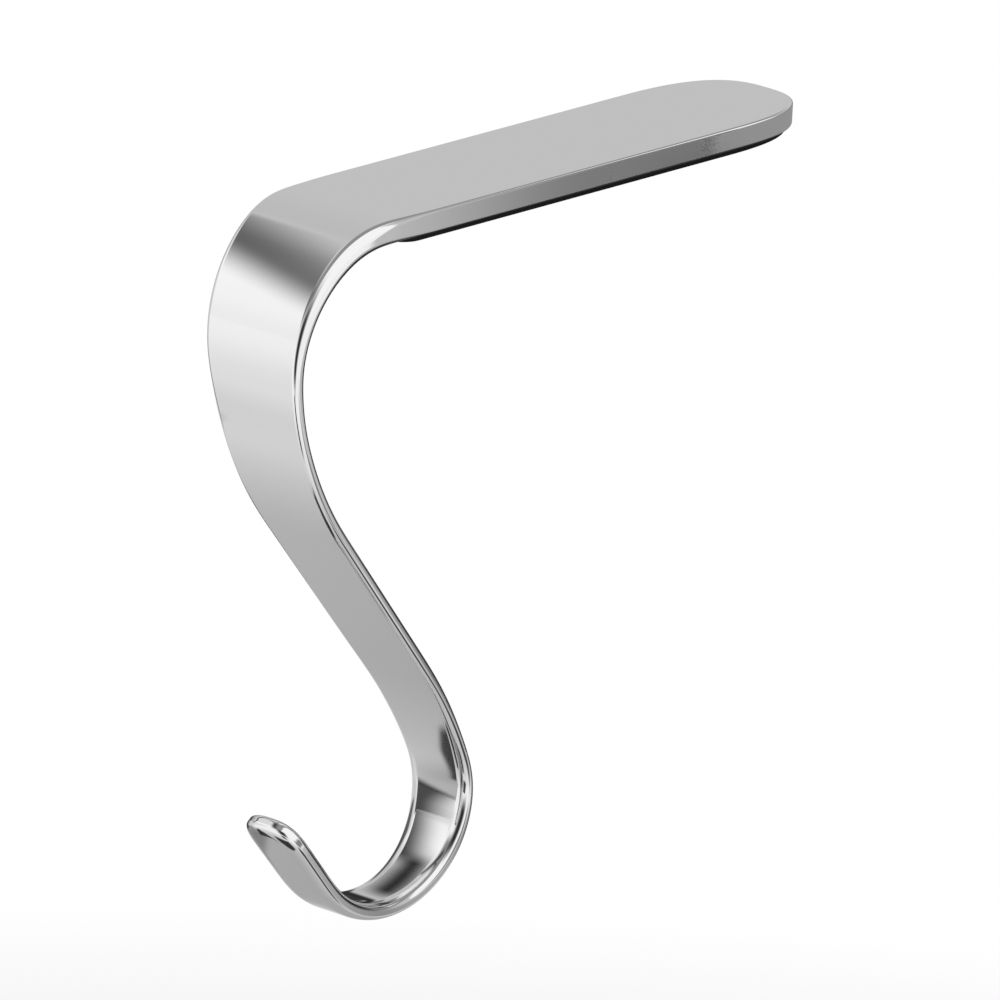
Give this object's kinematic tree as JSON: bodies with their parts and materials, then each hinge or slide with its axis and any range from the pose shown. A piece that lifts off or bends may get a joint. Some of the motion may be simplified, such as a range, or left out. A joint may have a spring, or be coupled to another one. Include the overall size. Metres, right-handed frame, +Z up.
{
  "type": "mantel stocking holder",
  "caption": "Bent strip of bright plated metal: a flat padded tongue rests on a shelf, and an S-shaped stem in front of the edge ends in an upturned hook for a stocking.",
  "frame": {"origin": "middle of the pad's underside, the face that lies on the shelf", "axes": "+Z up, +Y back over the shelf towards the tongue's rounded end, X across the strip; the hook hangs on the -Y side"},
  "size_m": [0.0226, 0.1143, 0.1132],
  "materials": {
    "plated_metal": "bright mirror plating with softened edges",
    "pad_rubber": "matte black non-slip pad"
  },
  "bodies": {
    "root": {"hanger_strip": "plated_metal", "grip_pad": "pad_rubber"}
  },
  "joints": []
}
